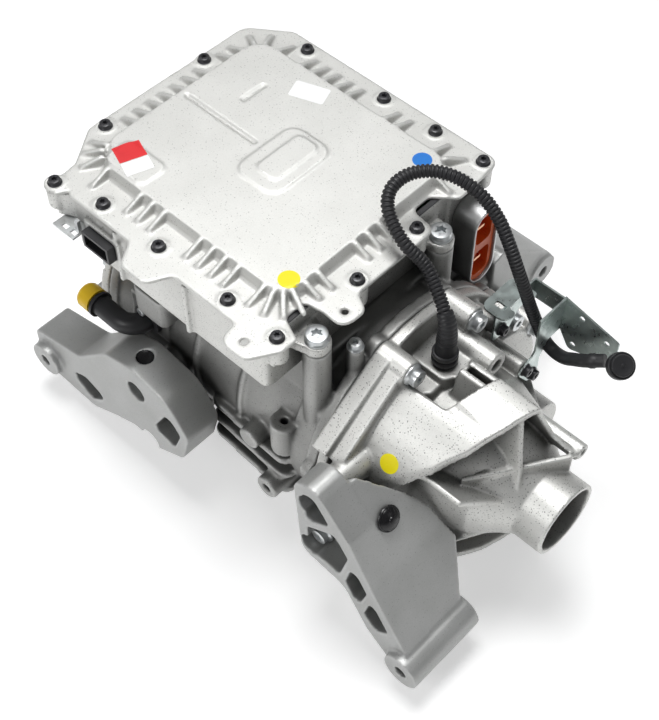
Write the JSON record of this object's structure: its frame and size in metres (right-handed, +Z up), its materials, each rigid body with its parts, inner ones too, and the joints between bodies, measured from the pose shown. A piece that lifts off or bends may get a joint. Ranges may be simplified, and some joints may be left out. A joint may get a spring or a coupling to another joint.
{
  "type": "electric drive unit",
  "caption": "Electric axle drive unit: cast motor and gearbox casing with differential, ribbed inverter box on top, mount brackets, coolant elbow and breather hose.",
  "frame": {"origin": "centre of the right output collar's bore at its outer face", "axes": "+X along the axle out of the gearbox, +Y to the back, +Z up"},
  "size_m": [0.569, 0.437, 0.3922],
  "materials": {
    "cover_cast": "blasted bright casting",
    "housing_cast": "sand-cast, speckled",
    "bracket_cast": "smooth grey casting",
    "zinc_steel": "zinc plated",
    "black_steel": "black coated",
    "gear_steel": "ground",
    "bearing_steel": "polished",
    "lamination": "stacked sheet",
    "iron": "machined",
    "copper": "bare copper",
    "black_plastic": "moulded",
    "black_rubber": "matt",
    "orange_plastic": "moulded",
    "shell_metal": "die-cast",
    "yellow_plastic": "moulded",
    "board": "laminate"
  },
  "bodies": {
    "casing": {"motor_housing": "housing_cast", "motor_end_cover": "housing_cast", "end_cover_bolts": "zinc_steel", "gearbox_cover": "housing_cast", "gearbox_bolts": "zinc_steel", "bearing_carrier": "bracket_cast", "carrier_bolts": "zinc_steel", "stator_core": "lamination", "stator_windings": "copper", "resolver_stator": "lamination", "bearing_outer_rings": "bearing_steel", "output_seals": "black_rubber", "inverter_housing": "housing_cast", "inverter_bolts": "zinc_steel", "ground_bolt": "zinc_steel", "cover_gasket": "black_rubber", "inverter_cover": "cover_cast", "cover_screws": "black_steel", "power_module": "black_plastic", "dc_link_capacitor": "black_plastic", "control_board": "board", "phase_busbars": "copper", "hv_connector_shell": "shell_metal", "hv_connector_insert": "orange_plastic", "hv_connector_pins": "copper", "signal_connector": "black_plastic", "harness_tab": "zinc_steel", "left_mount_bracket": "bracket_cast", "right_mount_bracket": "bracket_cast", "rear_mount_bracket": "bracket_cast", "bracket_bolts": "zinc_steel", "bracket_plugs": "black_rubber", "coolant_elbow": "black_plastic", "coolant_elbow_screw": "zinc_steel", "coolant_cap": "yellow_plastic", "hose_bracket": "zinc_steel", "hose_bracket_screws": "black_steel", "breather_fitting": "black_plastic", "breather_hose": "black_rubber", "breather_tail": "black_rubber", "breather_cap": "black_plastic"},
    "rotor": {"rotor_shaft": "gear_steel", "rotor_core": "lamination", "rotor_magnets": "iron", "rotor_end_plates": "lamination", "resolver_rotor": "lamination", "rotor_bearing_inners": "bearing_steel"},
    "layshaft": {"layshaft": "gear_steel", "layshaft_gear": "gear_steel", "layshaft_bearing_inners": "bearing_steel"},
    "differential": {"differential_case": "iron", "ring_gear": "gear_steel", "ring_gear_bolts": "gear_steel", "differential_bearing_inners": "bearing_steel", "cross_pin": "gear_steel"},
    "upper_spider": {"spider_pinion_upper": "gear_steel"},
    "lower_spider": {"spider_pinion_lower": "gear_steel"},
    "left_side_gear": {"side_gear_left": "gear_steel"},
    "right_side_gear": {"side_gear_right": "gear_steel"}
  },
  "joints": [
    {"name": "differential_spin", "type": "hinge", "parent": "casing", "child": "differential", "pos_m": [-0.1, 0, 0], "axis": [1, 0, 0], "continuous": true},
    {"name": "layshaft_spin", "type": "hinge", "parent": "casing", "child": "layshaft", "pos_m": [-0.15, 0.0793, -0.03698], "axis": [1, 0, 0], "continuous": true},
    {"name": "rotor_spin", "type": "hinge", "parent": "casing", "child": "rotor", "pos_m": [-0.35, 0, 0], "axis": [1, 0, 0], "continuous": true},
    {"name": "left_output_spin", "type": "hinge", "parent": "differential", "child": "left_side_gear", "pos_m": [-0.1, 0, 0], "axis": [1, 0, 0], "continuous": true},
    {"name": "right_output_spin", "type": "hinge", "parent": "differential", "child": "right_side_gear", "pos_m": [-0.1, 0, 0], "axis": [1, 0, 0], "continuous": true},
    {"name": "upper_spider_spin", "type": "hinge", "parent": "differential", "child": "upper_spider", "pos_m": [-0.1, 0, 0], "axis": [0, 0, 1], "continuous": true},
    {"name": "lower_spider_spin", "type": "hinge", "parent": "differential", "child": "lower_spider", "pos_m": [-0.1, 0, 0], "axis": [0, 0, 1], "continuous": true}
  ],
  "couplings": [
    {"joint": "layshaft_spin", "follows": "differential_spin", "ratio": -3.1176},
    {"joint": "rotor_spin", "follows": "differential_spin", "ratio": 8.3684},
    {"joint": "right_output_spin", "follows": "left_output_spin", "ratio": -1},
    {"joint": "upper_spider_spin", "follows": "left_output_spin", "ratio": 1.6},
    {"joint": "lower_spider_spin", "follows": "left_output_spin", "ratio": -1.6}
  ]
}
